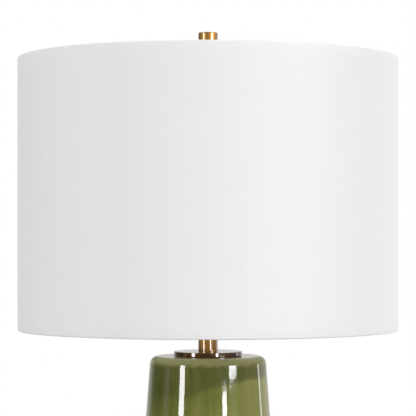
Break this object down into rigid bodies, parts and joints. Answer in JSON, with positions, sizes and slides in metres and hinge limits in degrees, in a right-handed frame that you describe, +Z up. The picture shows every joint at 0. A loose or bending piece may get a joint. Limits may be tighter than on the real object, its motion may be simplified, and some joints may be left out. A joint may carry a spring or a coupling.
{
  "type": "table lamp",
  "caption": "Table lamp with a tapered glazed ceramic jar, brass disc, neck and finial, keyed socket, wire harp and a white drum shade.",
  "frame": {"origin": "on the table under the middle of the jar", "axes": "+Z up along the pipe and the shade's axis; -Y to the front, where the switch knob points; the cord outlet is at +Y"},
  "size_m": [0.4063, 0.4064, 0.6992],
  "materials": {
    "glaze": "glossy olive green reactive glaze",
    "felt": "dark pressed felt",
    "black_rubber": "satin",
    "antique_brass": "brushed, lacquered",
    "bright_brass": "polished",
    "zinc_steel": "zinc plated",
    "phenolic": "moulded",
    "knob_plastic": "moulded, grooved",
    "paper_tube": "pressed paper",
    "bulb_glass": "inside frosted",
    "bulb_metal": "rolled",
    "bulb_cone": "fused black insulator",
    "linen": "fine white linen weave",
    "liner": "smooth white backing",
    "frame_wire": "white enamel"
  },
  "bodies": {
    "base": {"ceramic_body": "glaze", "felt_ring": "felt", "cord_grommet": "black_rubber", "threaded_pipe": "zinc_steel", "bottom_washer": "zinc_steel", "lock_washer": "zinc_steel", "bottom_nut": "zinc_steel", "disc_gasket": "black_rubber", "brass_disc": "antique_brass", "neck_tube": "antique_brass", "neck_bushing": "zinc_steel", "neck_cap": "antique_brass", "harp_saddle": "bright_brass", "saddle_nut": "zinc_steel", "socket_cap": "bright_brass", "cap_set_screw": "zinc_steel", "socket_shell": "bright_brass", "shell_insulator": "paper_tube", "socket_interior": "phenolic", "terminal_screws": "bright_brass", "screw_shell": "bulb_metal", "center_contact": "bright_brass", "harp_bow": "bright_brass"},
    "ferrule_left": {"harp_ferrule_left": "bright_brass"},
    "ferrule_right": {"harp_ferrule_right": "bright_brass"},
    "switch": {"switch_shaft": "zinc_steel", "turn_knob": "knob_plastic"},
    "bulb": {"bulb_contact": "zinc_steel", "bulb_insulator": "bulb_cone", "bulb_screw_base": "bulb_metal", "bulb_envelope": "bulb_glass"},
    "shade": {"harp_stud": "bright_brass", "spider_hub": "frame_wire", "spider_arms": "frame_wire", "top_ring": "frame_wire", "bottom_ring": "frame_wire", "shade_fabric": "linen", "shade_liner": "liner", "top_hem": "linen", "bottom_hem": "linen"},
    "finial": {"finial": "antique_brass"}
  },
  "joints": [
    {"name": "shade_swivel", "type": "hinge", "parent": "base", "child": "shade", "pos_m": [0, 0, 0.6568], "axis": [0, 0, 1], "continuous": true},
    {"name": "finial_unscrew", "type": "hinge", "parent": "shade", "child": "finial", "pos_m": [0, 0, 0.664], "axis": [0, 0, 1], "continuous": true},
    {"name": "switch_turn", "type": "hinge", "parent": "base", "child": "switch", "pos_m": [0, -0.019, 0.44104], "axis": [0, -1, 0], "continuous": true},
    {"name": "bulb_unscrew", "type": "hinge", "parent": "base", "child": "bulb", "pos_m": [0, 0, 0.45084], "axis": [0, 0, 1], "continuous": true},
    {"name": "ferrule_left_lift", "type": "slide", "parent": "base", "child": "ferrule_left", "axis": [0, 0, 1], "range_m": [0, 0.014]},
    {"name": "ferrule_right_lift", "type": "slide", "parent": "base", "child": "ferrule_right", "axis": [0, 0, 1], "range_m": [0, 0.014]}
  ]
}
